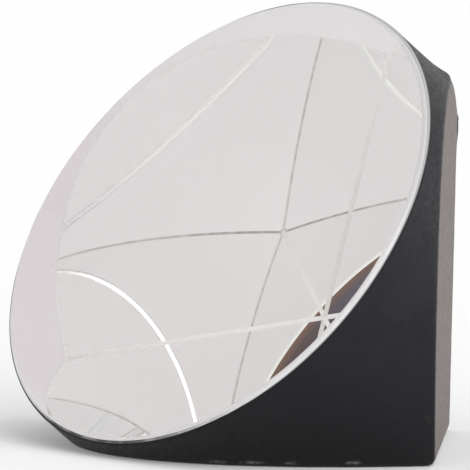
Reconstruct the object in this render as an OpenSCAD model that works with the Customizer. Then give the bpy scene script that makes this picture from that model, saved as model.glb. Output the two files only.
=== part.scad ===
// Corner-cube reflector prism, standing on one of its three mirror facets.
// Sizes are in millimetres. +Z is up; the round entrance face looks to -Y and upward.
// The glass is a round blank with three facets ground on its back at right angles to each other.
// The facets and the wall are silvered, and black lacquer covers the silver.

/* [Glass] */
// Diameter of the round glass blank
glass_diameter = 62; // [25:0.5:150]
// Length of the wall that runs all the way round, between the entrance face and the facets
band_length = 3.35; // [1.5:0.05:12]
// Leg of the bevel round the entrance face
rim_bevel = 0.5; // [0.15:0.05:0.9]
// Leg of the narrow flat that breaks each edge between two facets
edge_leg = 0.35; // [0.2:0.05:1.5]

/* [Silver] */
// Thickness of the silvering on the facets and the wall
silver_thickness = 0.1; // [0.05:0.01:0.3]

/* [Lacquer] */
// Thickness of the black lacquer over the silver
lacquer_thickness = 0.15; // [0.08:0.01:0.5]
// Width of the lacquer lip that laps past the end of the silver onto the bare glass
lip_width = 0.3; // [0.1:0.05:0.5]

/* [Hidden] */
$fn = 128;
glass_radius = glass_diameter / 2;
// On a corner cube the facets leave the wall at the radius times the root of two, measured from the corner
glass_height = glass_radius * sqrt(2) + band_length;
silver_outside = silver_thickness;
lacquer_outside = silver_thickness + lacquer_thickness;
// Angle between the prism's axis and each edge of the corner
axis_tilt = acos(1 / sqrt(3));
// Where the lacquer and the silver end, measured along the axis from the corner
lacquer_end = glass_height - rim_bevel;
silver_end = lacquer_end - lip_width;
// Large enough to hold the whole prism on either side of the corner
reach = 2 * glass_height;
// Furthest front of the glass rim and of the lacquer, and furthest back of the upright edge
rim_front = glass_height * sqrt(2 / 3) + (glass_radius - rim_bevel) / sqrt(3);
lacquer_front = lacquer_end * sqrt(2 / 3) + (glass_radius + lacquer_outside) / sqrt(3);
front_extent = max(rim_front, lacquer_front);
back_extent = lacquer_outside - edge_leg / sqrt(2);

// Stands the corner on its base facet, with the middle of the bounding box over the origin
module stand() {
    translate([0, (front_extent - back_extent) / 2, lacquer_outside])
        rotate([0, 0, 225])
            children();
}

// Turns the base facet's work onto the right facet
module to_right() {
    rotate([90, 0, 90])
        children();
}

// Turns the base facet's work onto the left facet
module to_left() {
    to_right() to_right()
        children();
}

// Everything on the glass side of the flat along the upright edge, with the flat moved out by grown
module inside_edge_flat(grown) {
    rotate([0, 0, 45])
        translate([edge_leg / sqrt(2) - grown, -reach, -reach])
            cube(2 * reach);
}

// The corner of three square planes with its broken edges, each plane moved out by grown
module corner(grown) {
    intersection() {
        translate([-grown, -grown, -grown])
            cube(reach);
        inside_edge_flat(grown);
        to_right() inside_edge_flat(grown);
        to_left() inside_edge_flat(grown);
    }
}

// Round bar along the prism's axis, from behind the corner up to the height end
module round_bar(radius, end) {
    rotate([0, axis_tilt, 45])
        translate([0, 0, -4 * lacquer_outside])
            cylinder(r = radius, h = end + 4 * lacquer_outside);
}

// The round blank with the bevel at its entrance face
module bevelled_bar() {
    rotate([0, axis_tilt, 45])
        rotate_extrude()
            polygon([
                [0, -4 * lacquer_outside],
                [glass_radius, -4 * lacquer_outside],
                [glass_radius, glass_height - rim_bevel],
                [glass_radius - rim_bevel, glass_height],
                [0, glass_height]
            ]);
}

// The third of space that lies nearest to the base facet
module base_third() {
    intersection() {
        rotate([0, 45, 0])
            translate([0, -reach, -reach])
                cube(2 * reach);
        rotate([-45, 0, 0])
            translate([-reach, 0, -reach])
                cube(2 * reach);
    }
}

// A layer on the base facet between two distances from the glass, mitred along the corner's edges
module facet_layer(inside, outside) {
    intersection() {
        difference() {
            corner(outside);
            corner(inside);
        }
        round_bar(glass_radius + inside, lacquer_end);
        base_third();
    }
}

// A layer round the wall between two radii, trimmed to the corner moved out by grown
module wall_layer(inner_radius, outer_radius, end, grown) {
    difference() {
        intersection() {
            round_bar(outer_radius, end);
            corner(grown);
        }
        round_bar(inner_radius, reach);
    }
}

// Solid block of optical glass: round entrance face, ground wall, three facets with broken edges
module glass_body() {
    color("LightCyan")
        stand()
            intersection() {
                bevelled_bar();
                corner(0);
            }
}

// Silvering on the facet that the prism stands on
module silver_base() {
    color("Silver")
        stand()
            facet_layer(0, silver_outside);
}

// Silvering on the back left facet
module silver_left() {
    color("Silver")
        stand()
            to_left() facet_layer(0, silver_outside);
}

// Silvering on the back right facet
module silver_right() {
    color("Silver")
        stand()
            to_right() facet_layer(0, silver_outside);
}

// Silvering round the ground wall
module silver_barrel() {
    color("Silver")
        stand()
            wall_layer(glass_radius, glass_radius + silver_outside, silver_end, silver_outside);
}

// Black lacquer on the facet that the prism stands on
module lacquer_base() {
    color("DimGray")
        stand()
            facet_layer(silver_outside, lacquer_outside);
}

// Black lacquer on the back left facet
module lacquer_left() {
    color("DimGray")
        stand()
            to_left() facet_layer(silver_outside, lacquer_outside);
}

// Black lacquer on the back right facet
module lacquer_right() {
    color("DimGray")
        stand()
            to_right() facet_layer(silver_outside, lacquer_outside);
}

// Black lacquer round the wall, with the lip that seals the end of the silver against the glass
module lacquer_barrel() {
    color("DimGray")
        stand()
            difference() {
                wall_layer(glass_radius, glass_radius + lacquer_outside, lacquer_end, lacquer_outside);
                round_bar(glass_radius + silver_outside, silver_end);
            }
}

glass_body();
silver_base();
silver_left();
silver_right();
silver_barrel();
lacquer_base();
lacquer_left();
lacquer_right();
lacquer_barrel();
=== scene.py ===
"""Corner-cube reflector prism: its glass, silvering and black lacquer, on a plain pale stage."""

import math
from types import SimpleNamespace

import bpy
import numpy as np
from mathutils import Matrix, Vector


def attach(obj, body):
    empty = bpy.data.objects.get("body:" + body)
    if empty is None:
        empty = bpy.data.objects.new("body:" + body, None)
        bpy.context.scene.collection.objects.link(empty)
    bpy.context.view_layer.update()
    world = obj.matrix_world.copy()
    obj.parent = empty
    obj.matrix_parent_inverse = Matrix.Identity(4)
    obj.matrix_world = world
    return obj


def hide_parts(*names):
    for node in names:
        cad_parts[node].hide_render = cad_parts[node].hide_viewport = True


bl_info = {
    "name": "Corner-cube reflector prism",
    "version": (1, 0, 0),
    "blender": (4, 5, 0),
    "location": "View3D > Sidebar > Prism",
    "description": "Builds a silvered and lacquered corner-cube prism and the stage that shows it",
    "category": "Object",
}

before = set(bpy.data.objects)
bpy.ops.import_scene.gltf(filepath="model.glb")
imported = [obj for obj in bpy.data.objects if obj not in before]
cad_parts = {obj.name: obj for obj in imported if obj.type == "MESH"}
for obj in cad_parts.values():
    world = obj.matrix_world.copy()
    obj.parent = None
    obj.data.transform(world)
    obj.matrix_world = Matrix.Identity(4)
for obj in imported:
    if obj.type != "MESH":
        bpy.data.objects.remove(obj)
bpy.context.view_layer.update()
BODY = "root"
MM = 0.001
ROOT2 = math.sqrt(2.0)
ROOT3 = math.sqrt(3.0)

# The corner's three edges as directions: to the right front, upright, and to the left front
EDGES = np.array([[1 / ROOT2, -1 / ROOT2, 0.0], [0.0, 0.0, 1.0], [-1 / ROOT2, -1 / ROOT2, 0.0]])
AXIS = EDGES.sum(axis=0) / ROOT3
# Ways square to the flats that break the edges
FLAT_WAYS = (EDGES + np.roll(EDGES, 1, axis=0)) / ROOT2
# Way square to the axis that points towards the right edge
RIGHT_WAY = (EDGES[0] - AXIS / ROOT3) * ROOT3 / ROOT2
# Facet number k lies between edge k and the next one round
FACET_NAMES = ("right", "left", "base")

# Points nearer than this are one point
WELD = 1e-7
# Faces that meet at more than this angle keep a sharp edge
SHARP_ANGLE = math.radians(24)
# Numbers of grid lines, and how strongly they crowd towards the edges
GLASS_LINES = 49
GLASS_PULL = 0.9
LACQUER_LINES = 81
LACQUER_PULL = 0.985
WALL_LINES = 25
FACE_RINGS = 13
# Steps that bring a point onto a rounded form
ROUNDING_STEPS = 8

# Material slots of the glass, in the order of its finishes
FACE, BEVEL, FACET, EDGE_FLAT, ARC, WALL, LOW_BEVEL = range(7)
# How far the glass stays inside the silver
GLASS_GAP = 0.02 * MM
# Share of the rim bevel that its coarser low part takes
LOW_BEVEL_SHARE = 0.45

# Softness of the lacquer's inner side, which is all but sharp
INNER_SOFTNESS = 0.01 * MM
# The lacquer wall's foot: rings across its thickness, and heights of the first rings over it
FOOT_RINGS = 4
FOOT_RISES = np.array([0.03, 0.07, 0.12, 0.18, 0.26, 0.36, 0.5, 0.7, 1.0]) * MM
# The lip at the lacquer wall's end: height of its rounding, thickness at its end, and rings
LIP_HEIGHT = 0.7 * MM
LIP_END = 0.03 * MM
LIP_RINGS = 9
# The run of lacquer on the right facet, by its places along the right and the upright edge
RUN_RIGHT = 0.35 * MM
RUN_RIGHT_WIDTH = 0.4 * MM
RUN_UP = 36.4 * MM
RUN_UP_WIDTH = 1.7 * MM
RUN_RISE = 0.28 * MM
# How far off the right facet's plane the run fades out
RUN_DEPTH = 0.2 * MM
# The drop at the top of the run
DROP_UP = 37.65 * MM
DROP_UP_WIDTH = 0.28 * MM
DROP_RISE = 0.12 * MM
# The bead of lacquer on the right facet's arc, by its distances along the three edges
BEAD_PLACE = np.array([20.0, 43.9, -0.25]) * MM
BEAD_WIDTH = 2.0 * MM
BEAD_RISE = 0.62 * MM

# Angles in degrees round the axis at which a mark begins, is full, begins to fade and ends
# The rim's low stretch, which gets painted shade
RIM_SHADE_STRETCH = (270, 286, 306, 350)
RIM_GREY_STRETCH = (28, 50, 120, 145)
RIM_WARM_STRETCH = (-35, -15, 24, 38)
LEFT_ARC_STRETCH = (202, 212, 213, 230)
LEFT_WALL_STRETCH = (165, 205, 250, 290)
# Points of the glass this near to a facet's plane lie on it
ON_PLANE = 0.05 * MM
# Worn places on the lacquered wall: angle round the axis, height over the base facet, half length
CHIPS = (
    (-34.5, 0.48 * MM, 0.85 * MM),
    (-28.2, 0.55 * MM, 0.85 * MM),
    (-21.7, 0.58 * MM, 0.5 * MM),
    (-11.7, 0.6 * MM, 0.4 * MM),
    (7.0, 6.0 * MM, 0.16 * MM),
    (5.0, 4.2 * MM, 0.12 * MM),
    (4.5, 6.4 * MM, 0.1 * MM),
)
CHIP_HALF_HEIGHT = 0.16 * MM
# Height over which the brown of the foot fades, and height at which the dust is full and the painted
# shade of the floor's shadow is gone
FOOT_FADE = 0.35 * MM
DUST_AND_SHADE_END = 24 * MM
# Painted shade by the run, plain black without dust: its height over the floor, and where it fades away
# from the upright edge
RUN_SHADE_UP = 36.7 * MM
RUN_SHADE_UP_WIDTH = 1.9 * MM
RUN_SHADE_RIGHT = (5 * MM, 1.5 * MM)

# Light goes to and fro many times inside the silvered glass
MIRROR_BOUNCES = 64
DIFFUSE_BOUNCES = 16
# The camera's sensor, the end of its view, and the side of the square floor
SENSOR_WIDTH_MM = 36.0
VIEW_END = 50.0
FLOOR_SIDE = 8.0
# Distances from the object between which the floor grows white
FLOOR_NEAR = 30 * MM
FLOOR_FAR = 200 * MM
# Cosines of the angles from the room's middle at which its dimness begins and is full
ROOM_BORDER = 0.2
ROOM_FULL = 0.95
# The dark card: its size, its place behind the camera, and how far its warm and cool sides lie apart
CARD_RADIUS = 60 * MM
CARD_BEHIND = 20 * MM
CARD_WARM_REACH = 8 * MM
# The card's oval ring: middle, turn, half axes, and the shares of them between which it grows brown
RING_MIDDLE = (-25.445 * MM, 22.741 * MM, 0)
RING_TURN = math.radians(48.36)
RING_HALF_AXES = (61.66 * MM, 36.81 * MM, 1)
RING_BROWN = (0.925, 0.968)


class PrismGlass(bpy.types.PropertyGroup):
    """Sizes of the glass and what it is made of"""

    diameter: bpy.props.FloatProperty(
        name="Diameter",
        description="Diameter of the round blank",
        default=62 * MM,
        subtype="DISTANCE",
        unit="LENGTH",
    )
    band: bpy.props.FloatProperty(
        name="Band",
        description="Length of the wall that runs all the way round",
        default=3.35 * MM,
        subtype="DISTANCE",
        unit="LENGTH",
    )
    bevel: bpy.props.FloatProperty(
        name="Rim bevel",
        description="Leg of the ground bevel round the entrance face",
        default=0.5 * MM,
        subtype="DISTANCE",
        unit="LENGTH",
    )
    edge_leg: bpy.props.FloatProperty(
        name="Edge flat",
        description="Leg of the narrow flat on each edge of the corner",
        default=0.35 * MM,
        subtype="DISTANCE",
        unit="LENGTH",
    )
    arc_on_facet: bpy.props.FloatProperty(
        name="Arc break on the facet",
        description="Width on the facet of the break where it meets the wall",
        default=0.03 * MM,
        subtype="DISTANCE",
        unit="LENGTH",
    )
    arc_on_wall: bpy.props.FloatProperty(
        name="Arc break on the wall",
        description="Length on the wall of the break where a facet meets it",
        default=0.31 * MM,
        subtype="DISTANCE",
        unit="LENGTH",
    )
    refraction: bpy.props.FloatProperty(
        name="Refractive index",
        description="Refractive index of the crown glass",
        default=1.523,
    )


class PrismCoats(bpy.types.PropertyGroup):
    """Thickness and colour of the silver and the lacquer"""

    silver: bpy.props.FloatProperty(
        name="Silver",
        description="Thickness of the silvering",
        default=0.1 * MM,
        subtype="DISTANCE",
        unit="LENGTH",
    )
    lacquer: bpy.props.FloatProperty(
        name="Lacquer",
        description="Thickness of the lacquer over the silver",
        default=0.15 * MM,
        subtype="DISTANCE",
        unit="LENGTH",
    )
    lip: bpy.props.FloatProperty(
        name="Lip",
        description="Width of bare glass that the lacquer laps over past the silver",
        default=0.3 * MM,
        subtype="DISTANCE",
        unit="LENGTH",
    )
    softness: bpy.props.FloatProperty(
        name="Edge softness",
        description="How far the lacquer draws back from its sharp edges",
        default=0.15 * MM,
        subtype="DISTANCE",
        unit="LENGTH",
    )
    swell: bpy.props.FloatProperty(
        name="Unevenness",
        description="Depth of the slow hollows in the brushed lacquer",
        default=0.03 * MM,
        subtype="DISTANCE",
        unit="LENGTH",
    )
    silver_colour: bpy.props.FloatVectorProperty(
        name="Silver colour",
        description="Colour of the silver seen through the glass",
        default=(0.972, 0.97, 0.967),
        subtype="COLOR",
    )
    lacquer_colour: bpy.props.FloatVectorProperty(
        name="Lacquer colour",
        description="Colour of the lacquer",
        default=(0.006, 0.006, 0.0075),
        subtype="COLOR",
    )


class PrismStage(bpy.types.PropertyGroup):
    """Camera, floor and light"""

    camera_place: bpy.props.FloatVectorProperty(
        name="Camera place",
        description="Where the camera stands",
        default=(1.49733, -1.34798, 0.23806),
        subtype="XYZ",
        unit="LENGTH",
    )
    camera_aim: bpy.props.FloatVectorProperty(
        name="Camera aim",
        description="Point in the middle of the picture",
        default=(-5.511 * MM, -2.238 * MM, 24.704 * MM),
        subtype="XYZ",
        unit="LENGTH",
    )
    camera_roll: bpy.props.FloatProperty(
        name="Camera roll",
        description="Turn of the camera about its own line of sight",
        default=math.radians(1.4067),
        subtype="ANGLE",
        unit="ROTATION",
    )
    lens: bpy.props.FloatProperty(
        name="Lens",
        description="Focal length in millimetres on a 36 mm sensor",
        default=1297.8,
    )
    room_colour: bpy.props.FloatVectorProperty(
        name="Room colour",
        description="Soft light that comes from the room's side",
        default=(0.67, 0.665, 0.66),
        subtype="COLOR",
    )
    room_way: bpy.props.FloatVectorProperty(
        name="Room side",
        description="Way from the object to the middle of the room's side",
        default=(-0.74, -0.34, 0.58),
        subtype="DIRECTION",
    )
    floor_colour: bpy.props.FloatVectorProperty(
        name="Floor colour",
        description="Colour of the floor",
        default=(0.96, 0.96, 0.96),
        subtype="COLOR",
    )
    floor_white_near: bpy.props.FloatProperty(
        name="Floor white near",
        description="Share of plain white on the floor by the object, where its shadow falls",
        default=0.15,
        subtype="FACTOR",
    )
    floor_white_far: bpy.props.FloatProperty(
        name="Floor white far",
        description="Share of plain white on the floor away from the object",
        default=0.9,
        subtype="FACTOR",
    )
    softbox_place: bpy.props.FloatVectorProperty(
        name="Softbox place",
        description="Where the softbox hangs, facing the object",
        default=(1.36, -0.3, 0.8),
        subtype="XYZ",
        unit="LENGTH",
    )
    softbox_size: bpy.props.FloatProperty(
        name="Softbox size",
        description="Side of the square softbox",
        default=1.2,
        subtype="DISTANCE",
        unit="LENGTH",
    )
    softbox_level: bpy.props.FloatProperty(
        name="Softbox level",
        description="How bright the softbox looks, where 1 is white",
        default=1.4,
    )
    back_place: bpy.props.FloatVectorProperty(
        name="Back light place",
        description="Where the smaller softbox behind the object hangs, facing it",
        default=(0.75, 1.1, 0.25),
        subtype="XYZ",
        unit="LENGTH",
    )
    back_size: bpy.props.FloatProperty(
        name="Back light size",
        description="Side of the smaller softbox",
        default=0.6,
        subtype="DISTANCE",
        unit="LENGTH",
    )
    back_level: bpy.props.FloatProperty(
        name="Back light level",
        description="How bright the smaller softbox looks, where 1 is white",
        default=2.0,
    )


def sizes():
    """Sizes in metres that follow from the settings, and where the glass corner stands.

    A facet leaves the wall at the radius times the root of two above the corner, and the band
    comes on top. The corner stands so that the middle of the solids' box is over the origin."""
    glass = bpy.context.scene.prism_glass
    coats = bpy.context.scene.prism_coats
    made = SimpleNamespace()
    made.radius = glass.diameter / 2
    made.height = made.radius * ROOT2 + glass.band
    made.coat = coats.silver + coats.lacquer
    made.wall_end = made.height - glass.bevel
    rim_front = made.height * ROOT2 / ROOT3 + (made.radius - glass.bevel) / ROOT3
    lacquer_front = made.wall_end * ROOT2 / ROOT3 + (made.radius + made.coat) / ROOT3
    made.flat = glass.edge_leg / ROOT2
    back = made.coat - made.flat
    made.corner = np.array([0.0, (max(rim_front, lacquer_front) - back) / 2, made.coat])
    return made


def crowded(count, pull):
    """Numbers from 0 to 1 that crowd together at both ends: t - pull sin(2 pi t) / (2 pi)."""
    t = np.linspace(0.0, 1.0, count)
    return t - pull * np.sin(2 * math.pi * t) / (2 * math.pi)


def soft_step(values, begin, end):
    """0 before the begin, 1 past the end, with the curve 3 t^2 - 2 t^3 between."""
    t = np.clip((values - begin) / (end - begin), 0.0, 1.0)
    return t * t * (3 - 2 * t)


def stretch(values, places):
    """Of four places, 0 outside the outer two and 1 between the inner two, with soft steps between."""
    begin, full, fading, end = places
    return soft_step(values, begin, full) * soft_step(values, end, fading)


def bell(values, middle, width):
    """A bell curve that is 1 at its middle: exp(-((value - middle) / width)^2)."""
    return np.exp(-(((values - middle) / width) ** 2))


def wall_meets(other, plane, radius):
    """Distance along one edge at which a facet meets the wall, for a distance along its other edge.

    On the facet's plane the wall is p^2 + q^2 + w^2 - p q - q w - w p = 3/2 r^2, with w the
    plane's own place; this is the larger root for p."""
    both = other + plane
    rest = other**2 + plane**2 - other * plane - 1.5 * radius**2
    return (both + np.sqrt(both**2 - 4 * rest)) / 2


def facet_grid(k, plane, start, radius, steps):
    """Facet k as a grid: rows run out along edge k, columns along the next edge.

    The plane lies at the given place along the third edge. Both ways the steps run from the start
    near the edge to the wall, so the last row and the last column together are the facet's arc."""
    first, second, third = EDGES[k], EDGES[(k + 1) % 3], EDGES[(k + 2) % 3]
    middle = plane + math.sqrt(1.5) * radius
    reach = wall_meets(start + steps * (middle - start), plane, radius) - start
    p = start + steps[:, None] * reach[None, :]
    q = start + steps[None, :] * reach[:, None]
    return p[..., None] * first + q[..., None] * second + plane * third


def wall_ring(plane, start, radius, steps):
    """All round the wall along the three facets' arcs, from each edge to the next, closed."""
    arcs = []
    for k in range(3):
        facet = facet_grid(k, plane, start, radius, steps)
        arcs += [facet[-1], facet[-2::-1, -1]]
    ring = np.concatenate(arcs)
    return np.concatenate([ring, ring[:1]])


def split_axis(points):
    """Height along the prism's axis, and the part of each point square to it."""
    height = points @ AXIS
    return height, points - height[..., None] * AXIS


def rim_angle(points):
    """Degrees round the axis: 0 at the right edge, 120 at the upright one, 240 at the left one."""
    across = points @ RIGHT_WAY
    onward = points @ np.cross(AXIS, RIGHT_WAY)
    return np.degrees(np.arctan2(onward, across)) % 360


def signed_angle(angle):
    """The same angle in degrees from -180 to 180."""
    return (angle + 180) % 360 - 180


def place_surface(name, sheets, corner, marks):
    """One closed mesh from sheets, each a grid of points with its material slot.

    A grid's cells become quads. Sheets meet in shared border points, which are welded, and a quad
    with two corners in one place becomes a triangle. Marks are named numbers for each point."""
    points = []
    quads = []
    slots = []
    start = 0
    for grid, slot in sheets:
        rows, columns = grid.shape[:2]
        index = start + np.arange(rows * columns).reshape(rows, columns)
        cells = np.stack([index[:-1, :-1], index[:-1, 1:], index[1:, 1:], index[1:, :-1]], axis=-1)
        points.append(grid.reshape(-1, 3))
        quads.append(cells.reshape(-1, 4))
        slots.append(np.full(len(quads[-1]), slot))
        start += rows * columns
    points = np.concatenate(points)
    places = np.round(points / WELD).astype(np.int64)
    _, kept, where = np.unique(places, axis=0, return_index=True, return_inverse=True)
    corners = where.reshape(-1)[np.concatenate(quads)]
    real = corners != np.roll(corners, -1, axis=1)
    counts = real.sum(axis=1)
    whole = counts > 2
    counts = counts[whole]
    loops = corners[whole][real[whole]]
    mesh = bpy.data.meshes.new(name)
    mesh.vertices.add(len(kept))
    mesh.vertices.foreach_set("co", (points[kept] + corner).ravel())
    mesh.loops.add(len(loops))
    mesh.loops.foreach_set("vertex_index", loops.astype(np.int32))
    mesh.polygons.add(len(counts))
    mesh.polygons.foreach_set("loop_start", (np.cumsum(counts) - counts).astype(np.int32))
    mesh.polygons.foreach_set("material_index", np.concatenate(slots)[whole].astype(np.int32))
    mesh.update(calc_edges=True)
    for mark_name, values in marks(points[kept]).items():
        attribute = mesh.attributes.new(mark_name, "FLOAT", "POINT")
        attribute.data.foreach_set("value", values.astype(np.float32))
    mesh.polygons.foreach_set("use_smooth", np.ones(len(counts), dtype=bool))
    mesh.set_sharp_from_angle(angle=SHARP_ANGLE)
    piece = bpy.data.objects.new(name, mesh)
    bpy.context.scene.collection.objects.link(piece)
    return piece


def glass_sheets(made, glass):
    """The glass as sheets, each with the material slot of its finish.

    Facets are plane grids. A flat joins the borders of two facets, and the three flats meet in one
    point over the corner. The wall runs up from the arcs, the bevel is a cone in two parts, and the
    face closes to its middle."""
    steps = crowded(GLASS_LINES, GLASS_PULL)
    radius = made.radius - GLASS_GAP
    arc_radius = radius - glass.arc_on_facet
    leg = glass.edge_leg + GLASS_GAP
    facets = [facet_grid(k, GLASS_GAP, leg, arc_radius, steps) for k in range(3)]
    sheets = [(facet, FACET) for facet in facets]
    tip = leg / 2 * EDGES.sum(axis=0)[None]
    for k in range(3):
        before = np.concatenate([tip, facets[k][0]])
        after = np.concatenate([tip, facets[(k + 1) % 3][:, 0]])
        sheets.append((np.stack([after, before]), EDGE_FLAT))
    low = wall_ring(GLASS_GAP, leg, arc_radius, steps)
    high = wall_ring(GLASS_GAP, leg, radius, steps) + glass.arc_on_wall * AXIS
    sheets.append((np.stack([low, high]), ARC))
    height, square = split_axis(high)
    rise = crowded(WALL_LINES, GLASS_PULL)[:, None]
    levels = height + rise * (made.wall_end - height)
    sheets.append((square[None] + levels[..., None] * AXIS, WALL))
    rim = square + made.wall_end * AXIS
    face_rim = square * (made.radius - glass.bevel) / radius + made.height * AXIS
    parting = rim + LOW_BEVEL_SHARE * (face_rim - rim)
    sheets.append((np.stack([rim, parting]), LOW_BEVEL))
    sheets.append((np.stack([parting, face_rim]), BEVEL))
    inward = np.linspace(0.0, 1.0, FACE_RINGS)[:, None, None]
    sheets.append((face_rim[None] * (1 - inward) + made.height * AXIS * inward, FACE))
    return sheets


def softened(points, moving, grown, wall, flat, softness):
    """Moves points of a sharp form along the given ways onto its rounded form; gives the way inwards.

    The depths are how far a point lies inside the three facet planes, the three edge flats and the
    wall. The rounded form is where their soft minimum, -s log(sum of exp(-depth / s)), is nought.
    Newton steps go along the moving ways by the soft minimum over its slope there."""
    ways = np.concatenate([EDGES, FLAT_WAYS])
    places = np.array([grown] * 3 + [grown - flat] * 3)
    for _ in range(ROUNDING_STEPS):
        _, square = split_axis(points)
        distance = np.linalg.norm(square, axis=-1, keepdims=True)
        depth = np.concatenate([points @ ways.T + places, wall - distance], axis=-1)
        least = depth.min(axis=-1, keepdims=True)
        share = np.exp((least - depth) / softness)
        total = share.sum(axis=-1, keepdims=True)
        share = share / total
        slope = share[..., :6] @ ways - share[..., 6:] * square / distance
        soft = least - softness * np.log(total)
        points = points - moving * soft / (slope * moving).sum(axis=-1, keepdims=True)
    return points, slope / np.linalg.norm(slope, axis=-1, keepdims=True)


def hollows(points):
    """Slow hollows from 0 to 1: the mean of three products of sines that run askew to the edges.

    The waves are given in radians for each millimetre."""
    x, y, z = np.moveaxis(points / MM, -1, 0)
    first = np.sin(0.83 * x + 0.31 * z) * np.sin(0.57 * y - 0.71 * z + 1.0)
    second = np.sin(1.9 * y + 0.6 * x + 2.0) * np.sin(1.3 * z - 0.9 * x)
    third = np.sin(0.33 * x + 0.41 * y + 0.5) * np.sin(0.29 * z + 0.37 * x + 4.0)
    return 0.5 + (first + second + third) / 6


def lacquer_skin(points, moving, made, coats):
    """The lacquer's outer side: planes and wall with soft edges, slow hollows, a run and a bead.

    The run is a bell-shaped bulge on the right facet by the top of its upright edge, with a drop as
    a small bell over it. The bead is a bell that lifts the wall's end on the right facet's arc."""
    silver_radius = made.radius + coats.silver
    wall_radius = made.radius + made.coat
    points, inward = softened(points, moving, made.coat, wall_radius, made.flat, coats.softness)
    moved = points + inward * (coats.swell * hollows(points))[..., None]
    along = points @ EDGES.T
    right, upward, left = np.moveaxis(along, -1, 0)
    run = RUN_RISE * bell(upward, RUN_UP, RUN_UP_WIDTH)
    run += DROP_RISE * bell(upward, DROP_UP, DROP_UP_WIDTH)
    on_right_facet = np.clip(1 - np.abs(left + made.coat) / RUN_DEPTH, 0, 1)
    run *= bell(right, RUN_RIGHT, RUN_RIGHT_WIDTH) * on_right_facet
    _, square = split_axis(points)
    on_wall = soft_step(np.linalg.norm(square, axis=-1), silver_radius, wall_radius)
    away = np.linalg.norm(along - BEAD_PLACE, axis=-1)
    bead = BEAD_RISE * bell(away, 0.0, BEAD_WIDTH) * on_wall
    return moved - EDGES[2] * run[..., None] + EDGES[1] * bead[..., None]


def border(grid):
    """The grid's four sides as one closed run of points."""
    sides = [grid[0, :-1], grid[:-1, -1], grid[-1, :0:-1], grid[:0:-1, 0], grid[:1, 0]]
    return np.concatenate(sides)


def lacquer_facet_sheets(k, made, coats, steps):
    """Lacquer on one facet: outer skin, inner side on the silver, and the mitred sides between.

    The inner side is rounded as if the wall were too far off to matter."""
    edge_radius = made.radius + coats.silver
    outer = facet_grid(k, -made.coat, -made.coat, edge_radius, steps)
    outer = lacquer_skin(outer, AXIS, made, coats)
    inner = facet_grid(k, -coats.silver, -coats.silver, edge_radius, steps)
    far_wall = 2 * made.radius
    inner, _ = softened(inner, AXIS, coats.silver, far_wall, made.flat, INNER_SOFTNESS)
    sides = np.stack([border(inner), border(outer)])
    return [(outer, 0), (inner.transpose(1, 0, 2), 0), (sides, 0)]


def lacquer_wall_sheets(made, coats, steps):
    """Lacquer round the wall: a profile carried round the three arcs.

    The profile runs out along the facet's plane to the wall, up the wall, over the thin lip to the
    glass, down the glass to the silver, and down the silver to where it began. The ways along which
    its points are rounded turn from the axis, at the foot, to square to the wall."""
    silver_radius = made.radius + coats.silver
    wall_radius = made.radius + made.coat
    radii = np.linspace(silver_radius, wall_radius, FOOT_RINGS)
    foot = np.stack([wall_ring(-made.coat, -made.coat, radius, steps) for radius in radii])
    height, square = split_axis(foot[-1])
    away = square / wall_radius
    lip_start = made.wall_end - LIP_HEIGHT
    rise = np.linspace(0.0, 1.0, WALL_LINES)[1:, None]
    low = height + FOOT_RISES[:, None]
    levels = np.concatenate([low, low[-1] + rise * (lip_start - low[-1])])
    wall = square + levels[..., None] * AXIS
    foot_turn = np.linspace(0, 0.5, FOOT_RINGS)
    low_turn = np.linspace(0.5, 1, len(FOOT_RISES) + 1)[1:]
    turned = np.concatenate([foot_turn, low_turn, np.ones(len(rise))])[:, None, None]
    moving = (1 - turned) * AXIS - turned * away
    skin = lacquer_skin(np.concatenate([foot, wall]), moving, made, coats)
    bend = np.linspace(0.0, math.pi / 2, LIP_RINGS)[1:, None]
    lip_out = made.radius + LIP_END + (made.coat - LIP_END) * np.cos(bend)
    lip_up = lip_start + LIP_HEIGHT * np.sin(bend)
    lip = lip_out[..., None] * away + lip_up[..., None] * AXIS
    silver_end = made.wall_end - coats.lip
    inside = [
        made.radius * away + made.wall_end * AXIS,
        made.radius * away + silver_end * AXIS,
        silver_radius * away + silver_end * AXIS,
        skin[0],
    ]
    return [(np.concatenate([skin, lip, np.stack(inside)]), 0)]


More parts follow.
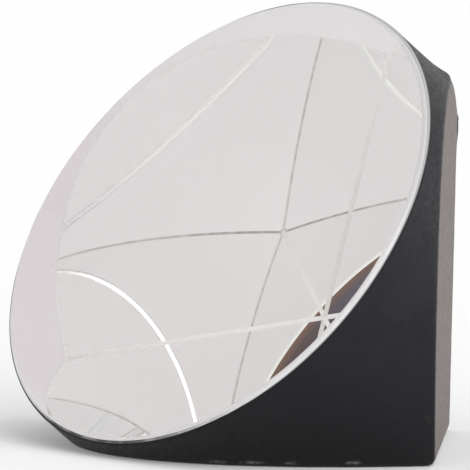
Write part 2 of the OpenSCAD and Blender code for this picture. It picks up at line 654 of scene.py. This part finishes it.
def glass_marks(points):
    """Marks on the glass, each from 0 to 1. Angles are in degrees round the axis.

    arc_dark_reflection: how much painted dark reflection of the room the break of an arc shows. It is
    a little everywhere, more on the right facet's arc towards the right edge and on a stretch of the
    left facet's arc, and most at the right end of the base facet's arc.
    rim_shade: painted shade on the rim's low part, which faces the floor's shadow.
    rim_grey: the rim's upper right part.
    rim_white: grows over the rim's near part, towards the right edge; from inside it takes both bevels
    from their painted shaded tone to their lighter one.
    rim_warm: the rim's near part, on both sides of the right edge, where the painted warm reflection
    shows from inside.
    flat_dull: the upright flat clears towards its top, and the left one dulls away from the corner.
    wall_darkening: most on the left of the wall, and about half all round except for a bell at the top,
    which stays light as painted light for the gloss that the matte wall lacks.
    cool: the right facet."""
    angle = rim_angle(points)
    signed = signed_angle(angle)
    along = points @ EDGES.T
    _, upward, left = along.T
    edge = along.argmax(axis=1)
    right_arc = 0.15 + 0.5 * soft_step(angle, 112, 76)
    left_arc = 0.11 + 0.28 * stretch(angle, LEFT_ARC_STRETCH)
    base_arc = 0.26 + 0.42 * soft_step(angle, 300, 325) + 0.32 * soft_step(angle, 338, 350)
    right_flat = 0.18
    upright_flat = 0.62 * soft_step(upward, 42 * MM, 8 * MM)
    left_flat = 0.08 + 0.46 * soft_step(left, 22 * MM, 42 * MM)
    wall_round = 0.45 * (1 - bell(angle, 128, 40))
    return {
        "arc_dark_reflection": np.select([angle < 120, angle < 240], [right_arc, left_arc], base_arc),
        "rim_shade": stretch(angle, RIM_SHADE_STRETCH),
        "rim_grey": stretch(angle, RIM_GREY_STRETCH),
        "rim_white": soft_step(signed, -36, -4),
        "rim_warm": stretch(signed, RIM_WARM_STRETCH),
        "flat_dull": np.select([edge == 0, edge == 1], [right_flat, upright_flat], left_flat),
        "wall_darkening": wall_round + 0.55 * stretch(angle, LEFT_WALL_STRETCH),
        "cool": (left < ON_PLANE).astype(float),
    }


def lacquer_marks(points):
    """Marks on the lacquer, each from 0 to 1. Angles are in degrees round the axis.

    chips: worn places, as bells of their own length.
    foot: close to the base.
    dust_and_shade: grows with the height; low down the black is painted darker and the dust thinner, as
    shade from the floor.
    bare: the end of the wall, where the lacquer ends short by a length that swells round the right.
    run_shade: painted shade by the run, plain black without dust, a bell along the upright edge."""
    made = sizes()
    angle = signed_angle(rim_angle(points))
    height = points @ EDGES[1] + made.coat
    low_short = 0.06 * MM * soft_step(angle, -24, -4)
    upper_short = 0.27 * MM * bell(angle, 88, 36)
    short = (low_short + upper_short) * soft_step(angle, 132, 112)
    bare_start = made.wall_end - 1.5 * short
    bare_full = made.wall_end - 0.4 * short + WELD
    chips = np.zeros(len(points))
    for chip_angle, chip_height, half_length in CHIPS:
        along = np.radians(angle - chip_angle) * made.radius / half_length
        upward = (height - chip_height) / min(CHIP_HALF_HEIGHT, half_length)
        chips = np.maximum(chips, np.exp(-(along**4) - upward**2))
    by_upright = soft_step(points @ EDGES[0], *RUN_SHADE_RIGHT)
    return {
        "chips": chips,
        "foot": np.exp(-np.maximum(height, 0) / FOOT_FADE),
        "dust_and_shade": soft_step(height, 0, DUST_AND_SHADE_END),
        "bare": soft_step(points @ AXIS, bare_start, bare_full),
        "run_shade": by_upright * bell(height, RUN_SHADE_UP, RUN_SHADE_UP_WIDTH),
    }


class PRISM_OT_glass(bpy.types.Operator):
    """Makes the glass body: entrance face, ground bevel, wall, facets, flats and arc breaks"""

    bl_idname = "prism.glass"
    bl_label = "Glass body"

    def execute(self, context):
        made = sizes()
        sheets = glass_sheets(made, context.scene.prism_glass)
        piece = place_surface("glass_prism", sheets, made.corner, glass_marks)
        finishes = (
            clear_glass,
            ground_bevel,
            silvered_facet,
            silvered_flat,
            arc_break,
            silvered_wall,
            matt_bevel,
        )
        for finish in finishes:
            piece.data.materials.append(finish())
        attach(piece, BODY)
        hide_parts("glass_body")
        return {"FINISHED"}


class PRISM_OT_silver(bpy.types.Operator):
    """Gives the silver behind the facets and round the wall its finish"""

    bl_idname = "prism.silver"
    bl_label = "Silvering"

    def execute(self, context):
        finish = silver_back()
        for name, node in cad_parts.items():
            if name.startswith("silver"):
                node.data.materials.clear()
                node.data.materials.append(finish)
        return {"FINISHED"}


class PRISM_OT_lacquer(bpy.types.Operator):
    """Makes the black lacquer on the three facets and round the wall"""

    bl_idname = "prism.lacquer"
    bl_label = "Lacquer"

    def execute(self, context):
        coats = context.scene.prism_coats
        made = sizes()
        steps = crowded(LACQUER_LINES, LACQUER_PULL)
        facet_finish = facet_lacquer()
        layers = {"barrel": (lacquer_wall_sheets(made, coats, steps), wall_lacquer())}
        for k, place in enumerate(FACET_NAMES):
            layers[place] = (lacquer_facet_sheets(k, made, coats, steps), facet_finish)
        for place, (sheets, finish) in layers.items():
            piece = place_surface("lacquer_coat_" + place, sheets, made.corner, lacquer_marks)
            piece.data.materials.append(finish)
            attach(piece, BODY)
            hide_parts("lacquer_" + place)
        return {"FINISHED"}


def new_material(name):
    """A node material with its Principled shader."""
    material = bpy.data.materials.new(name)
    material.use_nodes = True
    tree = material.node_tree
    shader = next(node for node in tree.nodes if node.type == "BSDF_PRINCIPLED")
    return material, tree, shader


def feed(tree, socket, value):
    """Gives a socket a plain value, or a link from another socket."""
    if isinstance(value, bpy.types.NodeSocket):
        tree.links.new(value, socket)
    else:
        socket.default_value = value


def add_node(tree, kind, settings=(), **values):
    """A node with its settings, and with values or links for its inputs, named with _ for spaces."""
    node = tree.nodes.new(kind)
    for setting, value in dict(settings).items():
        setattr(node, setting, value)
    for name, value in values.items():
        feed(tree, node.inputs[name.replace("_", " ")], value)
    return node


def mix_colours(tree, factor, first, second):
    """The colour that goes from the first to the second with the factor."""
    node = add_node(tree, "ShaderNodeMix", {"data_type": "RGBA"}, Factor=factor)
    sockets = [socket for socket in node.inputs if socket.type == "RGBA"]
    for socket, colour in zip(sockets, (first, second)):
        linked = isinstance(colour, bpy.types.NodeSocket)
        feed(tree, socket, colour if linked else (*colour, 1))
    return next(socket for socket in node.outputs if socket.type == "RGBA")


def ramp(tree, value, begin, end, low=0.0, high=1.0, curve="LINEAR"):
    """A number that goes from low to high as the value goes from begin to end."""
    node = add_node(
        tree,
        "ShaderNodeMapRange",
        {"interpolation_type": curve},
        Value=value,
        From_Min=begin,
        From_Max=end,
        To_Min=low,
        To_Max=high,
    )
    return node.outputs["Result"]


def between(tree, value, low, high):
    """A number that goes from low to high as the value goes from 0 to 1."""
    return ramp(tree, value, 0.0, 1.0, low, high)


def reckon(tree, operation, first, second):
    """What a Math node makes of two numbers."""
    node = add_node(tree, "ShaderNodeMath", {"operation": operation})
    feed(tree, node.inputs[0], first)
    feed(tree, node.inputs[1], second)
    return node.outputs["Value"]


def product(tree, first, second):
    """The two numbers multiplied."""
    return reckon(tree, "MULTIPLY", first, second)


def along_way(tree, place, way):
    """How far a place lies along a way."""
    node = add_node(tree, "ShaderNodeVectorMath", {"operation": "DOT_PRODUCT"})
    feed(tree, node.inputs[0], place)
    feed(tree, node.inputs[1], way)
    return node.outputs["Value"]


def from_middle(tree, place):
    """How far a place lies from the origin."""
    node = add_node(tree, "ShaderNodeVectorMath", {"operation": "LENGTH"})
    feed(tree, node.inputs[0], place)
    return node.outputs["Value"]


def own_place(tree):
    """The piece's own coordinates."""
    return add_node(tree, "ShaderNodeTexCoord").outputs["Object"]


def mark(tree, name):
    """The numbers of a mark that the mesh carries."""
    return add_node(tree, "ShaderNodeAttribute", {"attribute_name": name}).outputs["Fac"]


def from_inside(tree):
    """1 where a surface is seen from inside the glass, and 0 where it is seen from outside."""
    return add_node(tree, "ShaderNodeNewGeometry").outputs["Backfacing"]


def new_group(name, numbers):
    """An empty shader group with a vector input, named number inputs and a mask as its output."""
    group = bpy.data.node_groups.new(name, "ShaderNodeTree")
    group.interface.new_socket("Vector", in_out="INPUT", socket_type="NodeSocketVector")
    for number, value in numbers.items():
        socket = group.interface.new_socket(number, in_out="INPUT", socket_type="NodeSocketFloat")
        socket.default_value = value
    group.interface.new_socket("Mask", in_out="OUTPUT", socket_type="NodeSocketFloat")
    given = group.nodes.new("NodeGroupInput").outputs
    result = group.nodes.new("NodeGroupOutput").inputs["Mask"]
    return group, given, result


def mottle_group():
    """Cloudy mask: noise stretched so that what lies below Low is 0 and above High is 1."""
    numbers = {"Scale": 100, "Detail": 3, "Low": 0.4, "High": 0.6}
    group, given, result = new_group("mottle", numbers)
    noise = add_node(
        group,
        "ShaderNodeTexNoise",
        Vector=given["Vector"],
        Scale=given["Scale"],
        Detail=given["Detail"],
    )
    spread = ramp(group, noise.outputs[0], given["Low"], given["High"], curve="SMOOTHSTEP")
    feed(group, result, spread)
    return group


def specks_group():
    """Scattered round specks: a share of a Voronoi pattern's cells has a speck of the given size.

    A speck is full inside its core and fades from there to its size."""
    group, given, result = new_group("specks", {"Scale": 100, "Size": 0.05, "Share": 0.3})
    core_share = 0.55
    cells = add_node(group, "ShaderNodeTexVoronoi", Vector=given["Vector"], Scale=given["Scale"])
    core = product(group, given["Size"], core_share)
    disc = ramp(group, cells.outputs["Distance"], given["Size"], core)
    draw = add_node(group, "ShaderNodeSeparateColor", Color=cells.outputs["Color"]).outputs[0]
    chosen = reckon(group, "LESS_THAN", draw, given["Share"])
    feed(group, result, product(group, disc, chosen))
    return group


PATTERN_MAKERS = {"mottle": mottle_group, "specks": specks_group}


def pattern(tree, name, **numbers):
    """The mask of a shared pattern with its own numbers, placed by the piece's own coordinates."""
    node = tree.nodes.new("ShaderNodeGroup")
    node.node_tree = bpy.data.node_groups.get(name) or PATTERN_MAKERS[name]()
    feed(tree, node.inputs["Vector"], own_place(tree))
    for number, value in numbers.items():
        node.inputs[number].default_value = value
    return node.outputs["Mask"]


def make_glassy(shader):
    """Turns a shader into crown glass."""
    shader.inputs["IOR"].default_value = bpy.context.scene.prism_glass.refraction
    shader.inputs["Transmission Weight"].default_value = 1.0


def clear_glass():
    """Polished crown glass of the entrance face, with a few specks of dust."""
    material, tree, shader = new_material("clear_glass")
    clear = (1, 1, 1)
    dust_brown = (0.5, 0.45, 0.4)
    dust = pattern(tree, "specks", Scale=170, Size=0.03, Share=0.16)
    feed(tree, shader.inputs["Base Color"], mix_colours(tree, dust, clear, dust_brown))
    shader.inputs["Roughness"].default_value = 0.0
    make_glassy(shader)
    return material


def ground_bevel():
    """Finely ground glass of the rim bevel, greyer at the upper right; seen from inside near the right
    edge it has painted shade and a painted warm reflection.
    """
    material, tree, shader = new_material("ground_bevel")
    outside = (0.84, 0.84, 0.85)
    outside_grey = (0.7, 0.7, 0.71)
    # Seen from inside near the right edge: a dimmer tint as painted shade, and a warm tint as a painted
    # reflection of warm things by the camera
    inside_shaded = (0.8, 0.79, 0.77)
    inside_warm_reflection = (0.94, 0.89, 0.79)
    patchy = pattern(tree, "mottle", Scale=700, Low=0.3, High=0.55)
    colour = mix_colours(tree, mark(tree, "rim_grey"), outside, outside_grey)
    warm = mix_colours(tree, mark(tree, "rim_white"), inside_shaded, inside_warm_reflection)
    near_inside = product(tree, from_inside(tree), mark(tree, "rim_warm"))
    feed(tree, shader.inputs["Base Color"], mix_colours(tree, near_inside, colour, warm))
    feed(tree, shader.inputs["Roughness"], between(tree, patchy, 0.28, 0.42))
    make_glassy(shader)
    return material


def matt_bevel():
    """Low part of the rim bevel, coarser ground: painted lighter seen from inside and greyer seen from
    outside, with painted shade on its low stretch outside.
    """
    material, tree, shader = new_material("matt_bevel")
    # One ground surface painted in two tones: greyer seen from outside, lighter seen from inside
    outside_pale = (0.77, 0.775, 0.79)
    outside_less_pale = (0.71, 0.715, 0.73)
    grey = (0.6, 0.6, 0.61)
    # Painted shade where the low rim faces the floor's shadow
    shade_on_rim = (0.06, 0.06, 0.07)
    inside_shaded = (0.8, 0.8, 0.8)
    inside_white = (0.93, 0.93, 0.93)
    patchy = pattern(tree, "mottle", Scale=600, Low=0.3, High=0.6)
    rim_shade = product(tree, mark(tree, "rim_shade"), between(tree, patchy, 0.75, 1.0))
    colour = mix_colours(tree, patchy, outside_pale, outside_less_pale)
    colour = mix_colours(tree, mark(tree, "rim_grey"), colour, grey)
    colour = mix_colours(tree, rim_shade, colour, shade_on_rim)
    clean = mix_colours(tree, mark(tree, "rim_white"), inside_shaded, inside_white)
    feed(tree, shader.inputs["Base Color"], mix_colours(tree, from_inside(tree), colour, clean))
    feed(tree, shader.inputs["Roughness"], between(tree, patchy, 0.55, 0.7))
    return material


def silver_finish(name, tint, roughness, worn=None, metallic=1.0, clean=(1, 1, 1)):
    """Silver that takes a tint where a mark says so, or else in soft clouds.

    Clean is the shade of the silver where the mark is nought, and tint is what the mark does to it;
    on the wall the light bell that the mark leaves at the top is painted light. The roughness is one
    number, or two between which it goes in the clouds."""
    material, tree, shader = new_material(name)
    silver = np.array(bpy.context.scene.prism_coats.silver_colour) * clean
    clouds = pattern(tree, "mottle", Scale=90, Low=0.35, High=0.65)
    where = mark(tree, worn) if worn else clouds
    feed(tree, shader.inputs["Base Color"], mix_colours(tree, where, silver, silver * tint))
    rough = between(tree, clouds, *roughness) if isinstance(roughness, tuple) else roughness
    feed(tree, shader.inputs["Roughness"], rough)
    shader.inputs["Metallic"].default_value = metallic
    return material


def silvered_facet():
    """Bright silver behind a polished facet, a little cooler behind the right one."""
    return silver_finish("silvered_facet", tint=(0.972, 1.0, 0.995), roughness=0.0, worn="cool")


def silvered_flat():
    """Satin silver on the ground flats of the corner's edges."""
    return silver_finish(
        "silvered_flat",
        tint=(0.84, 0.82, 0.795),
        roughness=(0.7, 0.8),
        worn="flat_dull",
        clean=(1, 0.988, 0.984),
    )


def silvered_wall():
    """Silver behind the ground wall, whose fine grain scatters the light like white paint."""
    return silver_finish(
        "silvered_wall",
        tint=(0.9, 0.848, 0.87),
        roughness=(0.85, 0.95),
        # Wall mark: a darker tint, most on the left, with a light bell at the top that is painted light
        worn="wall_darkening",
        metallic=0.0,
        clean=(1.02, 1.02, 1.022),
    )


def silver_back():
    """The silver's outer side, under the lacquer."""
    return silver_finish("silver_back", tint=(0.9, 0.88, 0.84), roughness=(0.3, 0.45))


def arc_break():
    """Ground break between facet and wall, silver-coloured, with a painted dark reflection of the room
    in places.
    """
    material, tree, shader = new_material("arc_break")
    silver = tuple(bpy.context.scene.prism_coats.silver_colour)
    # Painted reflection: this greyish brown stands for the dark room mirrored in the break
    painted_reflection_brown = (0.42, 0.38, 0.35)
    patchy = pattern(tree, "mottle", Scale=900, Low=0.35, High=0.6)
    dark = product(tree, mark(tree, "arc_dark_reflection"), between(tree, patchy, 0.7, 1.0))
    feed(tree, shader.inputs["Base Color"], mix_colours(tree, dark, silver, painted_reflection_brown))
    feed(tree, shader.inputs["Roughness"], between(tree, patchy, 0.75, 0.95))
    return material


def lacquer_finish(name, dust_and_sheen_colour, dust_and_sheen_share):
    """Brushed black lacquer: cloudy black with dust, pale specks, worn chips and a brown foot.

    The black is darker and the dust thinner towards the base: painted shade from the floor's shadow."""
    material, tree, shader = new_material(name)
    black = np.array(bpy.context.scene.prism_coats.lacquer_colour)
    cloud_black = 1.7 * black
    shaded_black = 0.45 * black
    foot_brown = (0.022, 0.015, 0.012)
    speck_colour = (0.16, 0.15, 0.14)
    chip_colour = (0.2, 0.19, 0.17)
    bare_glass = (0.46, 0.46, 0.47)
    higher = mark(tree, "dust_and_shade")
    clouds = pattern(tree, "mottle", Scale=160, Detail=5, Low=0.3, High=0.7)
    colour = mix_colours(tree, clouds, black, cloud_black)
    # Painted shade: darker black towards the base
    colour = mix_colours(tree, higher, shaded_black, colour)
    fine = pattern(tree, "mottle", Scale=2800, Detail=8, Low=0.25, High=0.8)
    # The dust thins towards the base as part of the same painted shade
    share = product(tree, between(tree, higher, 0.15, 1.0), dust_and_sheen_share)
    colour = mix_colours(tree, product(tree, fine, share), colour, dust_and_sheen_colour)
    colour = mix_colours(tree, product(tree, mark(tree, "foot"), 0.8), colour, foot_brown)
    specks = pattern(tree, "specks", Scale=330, Size=0.035, Share=0.12)
    colour = mix_colours(tree, product(tree, specks, 0.6), colour, speck_colour)
    ragged = pattern(tree, "mottle", Scale=2600, Low=0.38, High=0.58)
    chips = product(tree, mark(tree, "chips"), between(tree, ragged, 0.15, 1.0))
    colour = mix_colours(tree, chips, colour, chip_colour)
    colour = mix_colours(tree, mark(tree, "bare"), colour, bare_glass)
    # Painted shade: plain black where the run's side faces away from the light
    colour = mix_colours(tree, mark(tree, "run_shade"), colour, black)
    feed(tree, shader.inputs["Base Color"], colour)
    grain = pattern(tree, "mottle", Scale=1500, Detail=4, Low=0.25, High=0.75)
    feed(tree, shader.inputs["Roughness"], between(tree, grain, 0.42, 0.58))
    bump = add_node(tree, "ShaderNodeBump", Height=grain, Strength=0.25, Distance=0.03 * MM)
    feed(tree, shader.inputs["Normal"], bump.outputs["Normal"])
    return material, shader


def wall_lacquer():
    """Lacquer round the wall, with less and greyer dust than the facets."""
    material, shader = lacquer_finish("wall_lacquer", (0.02, 0.02, 0.022), 0.28)
    shader.inputs["Specular IOR Level"].default_value = 0.26
    shader.inputs["Specular Tint"].default_value = (0.93, 0.92, 1.0, 1)
    return material


def facet_lacquer():
    """Lacquer on the facets, with more and browner dust than the wall; besides dust, this lighter brown
    is painted sheen for the facets seen at a grazing angle.
    """
    # Brown dust, part of which is painted sheen that lightens the facets seen at a grazing angle
    material, shader = lacquer_finish("facet_lacquer", (0.06, 0.043, 0.037), 0.56)
    shader.inputs["Specular IOR Level"].default_value = 0.25
    shader.inputs["Sheen Weight"].default_value = 0.17
    shader.inputs["Sheen Roughness"].default_value = 0.35
    shader.inputs["Sheen Tint"].default_value = (1.0, 0.79, 0.71, 1)
    return material


def studio_world(stage):
    """Soft white studio all round, a little dimmer on the room's side."""
    world = bpy.data.worlds.new("studio")
    world.use_nodes = True
    tree = world.node_tree
    tree.nodes.clear()
    ways = add_node(tree, "ShaderNodeTexCoord").outputs["Generated"]
    towards = along_way(tree, ways, Vector(stage.room_way).normalized())
    dim = ramp(tree, towards, ROOM_BORDER, ROOM_FULL, curve="SMOOTHSTEP")
    colour = mix_colours(tree, dim, (1, 1, 1), stage.room_colour)
    light = add_node(tree, "ShaderNodeBackground", Color=colour)
    add_node(tree, "ShaderNodeOutputWorld", Surface=light.outputs["Background"])
    return world


def pale_floor(stage):
    """White floor: plain diffuse by the object, so that its shadow stays, and whiter further away.

    The white is for the eye, for gloss and for glass alike."""
    material, tree, shader = new_material("pale_floor")
    shader.inputs["Base Color"].default_value = (*stage.floor_colour, 1)
    shader.inputs["Roughness"].default_value = 0.9
    white = add_node(tree, "ShaderNodeEmission", Color=(1, 1, 1, 1))
    path = add_node(tree, "ShaderNodeLightPath").outputs
    shown = reckon(tree, "MAXIMUM", path["Is Camera Ray"], path["Is Glossy Ray"])
    shown = reckon(tree, "MAXIMUM", shown, path["Is Transmission Ray"])
    away = from_middle(tree, own_place(tree))
    share = ramp(tree, away, FLOOR_NEAR, FLOOR_FAR, stage.floor_white_near, stage.floor_white_far)
    mix = tree.nodes.new("ShaderNodeMixShader")
    feed(tree, mix.inputs[0], product(tree, shown, share))
    feed(tree, mix.inputs[1], shader.outputs[0])
    feed(tree, mix.inputs[2], white.outputs[0])
    out = next(node for node in tree.nodes if node.type == "OUTPUT_MATERIAL")
    feed(tree, out.inputs["Surface"], mix.outputs[0])
    return material


def dark_card():
    """Dark front of a camera: cool at one side, warm at the other, and brown towards an oval ring.

    Warmth grows along one diagonal of the card. The ring is a circle, stretched, turned and moved."""
    material, tree, shader = new_material("camera_card")
    cool_grey = (0.054, 0.047, 0.074)
    warm_black = (0.044, 0.014, 0.012)
    ring_brown = (0.15, 0.06, 0.03)
    place = own_place(tree)
    diagonal = along_way(tree, place, (1 / ROOT2, 1 / ROOT2, 0))
    warm = ramp(tree, diagonal, -CARD_WARM_REACH, CARD_WARM_REACH)
    colour = mix_colours(tree, warm, cool_grey, warm_black)
    ring = add_node(
        tree,
        "ShaderNodeMapping",
        {"vector_type": "TEXTURE"},
        Vector=place,
        Location=RING_MIDDLE,
        Rotation=(0, 0, RING_TURN),
        Scale=RING_HALF_AXES,
    )
    brown = ramp(tree, from_middle(tree, ring.outputs["Vector"]), *RING_BROWN)
    feed(tree, shader.inputs["Base Color"], mix_colours(tree, brown, colour, ring_brown))
    shader.inputs["Roughness"].default_value = 0.9
    shader.inputs["Specular IOR Level"].default_value = 0.0
    return material


def hang_softbox(name, place, size, level):
    """A square area lamp that faces the origin, with the power at which it looks as bright as level."""
    box = bpy.data.lights.new(name, "AREA")
    box.shape = "SQUARE"
    box.size = size
    box.energy = level * math.pi * size**2
    lamp = bpy.data.objects.new(name, box)
    bpy.context.scene.collection.objects.link(lamp)
    turn = (-Vector(place)).to_track_quat("-Z", "Y").to_matrix()
    lamp.matrix_world = Matrix.Translation(place) @ turn.to_4x4()


def set_light_paths(scene):
    """Lets light go to and fro in the glass, with mirror images that stay sharp."""
    scene.view_settings.view_transform = "Standard"
    scene.cycles.max_bounces = MIRROR_BOUNCES
    scene.cycles.glossy_bounces = MIRROR_BOUNCES
    scene.cycles.transmission_bounces = MIRROR_BOUNCES
    scene.cycles.diffuse_bounces = DIFFUSE_BOUNCES
    scene.cycles.blur_glossy = 0.0


def place_camera(scene, stage):
    """The camera at its place, turned to its aim and rolled about its line of sight."""
    lens = bpy.data.cameras.new("camera")
    lens.sensor_width = SENSOR_WIDTH_MM
    lens.lens = stage.lens
    lens.clip_end = VIEW_END
    camera = bpy.data.objects.new("camera", lens)
    scene.collection.objects.link(camera)
    towards = Vector(stage.camera_aim) - Vector(stage.camera_place)
    roll = Matrix.Rotation(stage.camera_roll, 3, "Z")
    turn = towards.to_track_quat("-Z", "Y").to_matrix() @ roll
    camera.matrix_world = Matrix.Translation(stage.camera_place) @ turn.to_4x4()
    scene.camera = camera
    return camera


class PRISM_OT_stage(bpy.types.Operator):
    """Makes the floor, the light and the camera with its dark front"""

    bl_idname = "prism.stage"
    bl_label = "Stage"

    def execute(self, context):
        scene = context.scene
        stage = scene.prism_stage
        set_light_paths(scene)
        scene.world = studio_world(stage)
        camera = place_camera(scene, stage)
        bpy.ops.mesh.primitive_plane_add(size=FLOOR_SIDE)
        floor = context.active_object
        floor.name = "floor"
        floor.data.materials.append(pale_floor(stage))
        bpy.ops.mesh.primitive_circle_add(vertices=64, radius=CARD_RADIUS, fill_type="NGON")
        card = context.active_object
        card.name = "camera_card"
        card.matrix_world = camera.matrix_world @ Matrix.Translation((0, 0, CARD_BEHIND))
        card.visible_camera = False
        card.data.materials.append(dark_card())
        hang_softbox("softbox", stage.softbox_place, stage.softbox_size, stage.softbox_level)
        hang_softbox("back_softbox", stage.back_place, stage.back_size, stage.back_level)
        return {"FINISHED"}


class PRISM_PT_panel(bpy.types.Panel):
    """Lists the prism's steps"""

    bl_label = "Prism"
    bl_idname = "PRISM_PT_panel"
    bl_space_type = "VIEW_3D"
    bl_region_type = "UI"
    bl_category = "Prism"

    def draw(self, context):
        for step in ("prism.glass", "prism.silver", "prism.lacquer", "prism.stage"):
            self.layout.operator(step)


CLASSES = (
    PrismGlass,
    PrismCoats,
    PrismStage,
    PRISM_OT_glass,
    PRISM_OT_silver,
    PRISM_OT_lacquer,
    PRISM_OT_stage,
    PRISM_PT_panel,
)


def register():
    for cls in CLASSES:
        bpy.utils.register_class(cls)
    bpy.types.Scene.prism_glass = bpy.props.PointerProperty(type=PrismGlass)
    bpy.types.Scene.prism_coats = bpy.props.PointerProperty(type=PrismCoats)
    bpy.types.Scene.prism_stage = bpy.props.PointerProperty(type=PrismStage)


def unregister():
    del bpy.types.Scene.prism_stage
    del bpy.types.Scene.prism_coats
    del bpy.types.Scene.prism_glass
    for cls in reversed(CLASSES):
        bpy.utils.unregister_class(cls)


def main():
    register()
    bpy.ops.prism.glass()
    bpy.ops.prism.silver()
    bpy.ops.prism.lacquer()
    bpy.ops.prism.stage()


if __name__ == "__main__":
    main()
